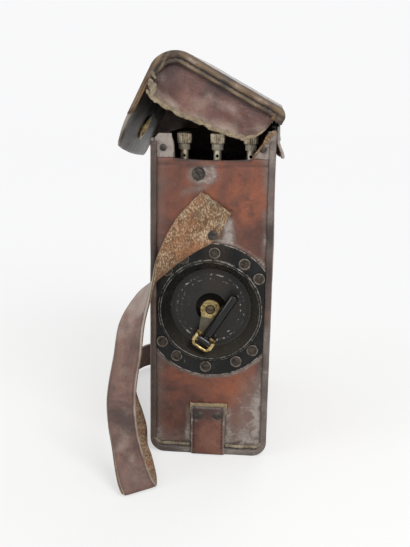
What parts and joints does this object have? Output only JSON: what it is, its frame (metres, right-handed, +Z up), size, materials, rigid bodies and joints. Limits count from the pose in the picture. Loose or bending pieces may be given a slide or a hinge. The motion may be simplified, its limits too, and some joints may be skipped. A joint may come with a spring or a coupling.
{
  "type": "field telephone",
  "caption": "Leather-cased magneto field telephone, lid ajar: side crank folding into a riveted dish, carrying strap, binding posts, handset, bell and hand generator inside.",
  "frame": {"origin": "middle of the case's underside, on the surface that it stands on", "axes": "+Z up, -Y towards the end with the crank, +X towards the back where the lid is hinged"},
  "size_m": [0.1554, 0.3087, 0.3297],
  "materials": {
    "case_leather": "worn reddish-brown hide",
    "edge_leather": "scuffed greyish-brown edge",
    "lid_leather": "worn reddish-brown hide",
    "gusset_leather": "pinkish-brown flesh side",
    "tab_leather": "dark brown hide",
    "strap_leather": "dusty brown hide",
    "black_enamel": "worn black enamel",
    "magnet_enamel": "dull red enamel",
    "steel": "aged bright steel",
    "dark_rivets": "tarnished",
    "brass": "tarnished",
    "nickel": "worn nickel plate",
    "ebonite": "dull black hard rubber",
    "capsule": "satin",
    "partition_wood": "varnished",
    "coil_wrap": "varnished cloth wrap",
    "cell_card": "waxed card tube"
  },
  "bodies": {
    "telephone": {"case_wrap": "case_leather", "near_panel": "case_leather", "far_panel": "case_leather", "end_welts": "edge_leather", "tab_underlays": "edge_leather", "hinge_leather": "lid_leather", "base_strap": "tab_leather", "carrying_strap": "strap_leather", "crank_flange": "black_enamel", "chassis_base": "black_enamel", "chassis_ends": "black_enamel", "bell_bridge": "black_enamel", "condenser": "black_enamel", "generator_magnets": "magnet_enamel", "flange_ring": "steel", "flange_rivets": "steel", "screw_washers": "steel", "frame_screws": "steel", "pole_pieces": "steel", "generator_tie_rods": "steel", "bell_magnet": "steel", "rocker_stand": "steel", "case_rivets": "dark_rivets", "closure_staple": "brass", "generator_plates": "brass", "generator_bushes": "brass", "contact_spring": "brass", "cell_link": "brass", "gong_posts": "brass", "bell_gongs": "brass", "binding_posts": "nickel", "terminal_panel": "ebonite", "handset_shells": "ebonite", "handset_caps": "ebonite", "handset_handle": "ebonite", "handset_capsules": "capsule", "well_partition": "partition_wood", "bell_coils": "coil_wrap", "induction_coil": "coil_wrap", "dry_cells": "cell_card"},
    "lid": {"lid_shell": "lid_leather", "lid_borders": "edge_leather", "lid_gussets": "gusset_leather", "closure_eyelet": "brass"},
    "crank": {"crank_shaft": "steel", "crank_arm": "brass", "crank_screw": "brass", "handle_clevis": "brass", "handle_pin": "steel", "drive_gear": "brass"},
    "armature": {"armature_pinion": "brass", "armature_shaft": "steel", "armature_core": "steel", "armature_windings": "coil_wrap"},
    "handle": {"crank_handle": "ebonite"},
    "left_nut": {"binding_nut_left": "nickel"},
    "centre_nut": {"binding_nut_centre": "nickel"},
    "right_nut": {"binding_nut_right": "nickel"},
    "clapper": {"bell_clapper": "brass"},
    "button": {"talk_button": "ebonite"}
  },
  "joints": [
    {"name": "lid_hinge", "type": "hinge", "parent": "telephone", "child": "lid", "pos_m": [0.052, 0, 0.275], "axis": [0, 1, 0], "range_deg": [-28.5, 120]},
    {"name": "crank_spin", "type": "hinge", "parent": "telephone", "child": "crank", "pos_m": [0, -0.0885, 0.1265], "axis": [0, 1, 0], "continuous": true},
    {"name": "armature_spin", "type": "hinge", "parent": "telephone", "child": "armature", "pos_m": [0, -0.04, 0.089], "axis": [0, 1, 0], "continuous": true},
    {"name": "handle_fold", "type": "hinge", "parent": "crank", "child": "handle", "pos_m": [-0.00469, -0.0962, 0.10093], "axis": [0.8415, 0, -0.5402], "range_deg": [0, 90]},
    {"name": "left_nut_turn", "type": "hinge", "parent": "telephone", "child": "left_nut", "pos_m": [-0.02445, -0.075, 0.258], "axis": [0, 0, 1], "range_deg": [0, 720]},
    {"name": "centre_nut_turn", "type": "hinge", "parent": "telephone", "child": "centre_nut", "pos_m": [0.0023, -0.075, 0.258], "axis": [0, 0, 1], "range_deg": [0, 720]},
    {"name": "right_nut_turn", "type": "hinge", "parent": "telephone", "child": "right_nut", "pos_m": [0.02905, -0.075, 0.258], "axis": [0, 0, 1], "range_deg": [0, 720]},
    {"name": "clapper_rock", "type": "hinge", "parent": "telephone", "child": "clapper", "pos_m": [0, -0.046, 0.212], "axis": [0, 1, 0], "range_deg": [-5, 5]},
    {"name": "talk_press", "type": "slide", "parent": "telephone", "child": "button", "axis": [1, 0, 0], "range_m": [0, 0.002], "stiffness_N_per_m": 400, "springref_m": -0.002}
  ],
  "couplings": [
    {"joint": "armature_spin", "follows": "crank_spin", "ratio": -4}
  ]
}
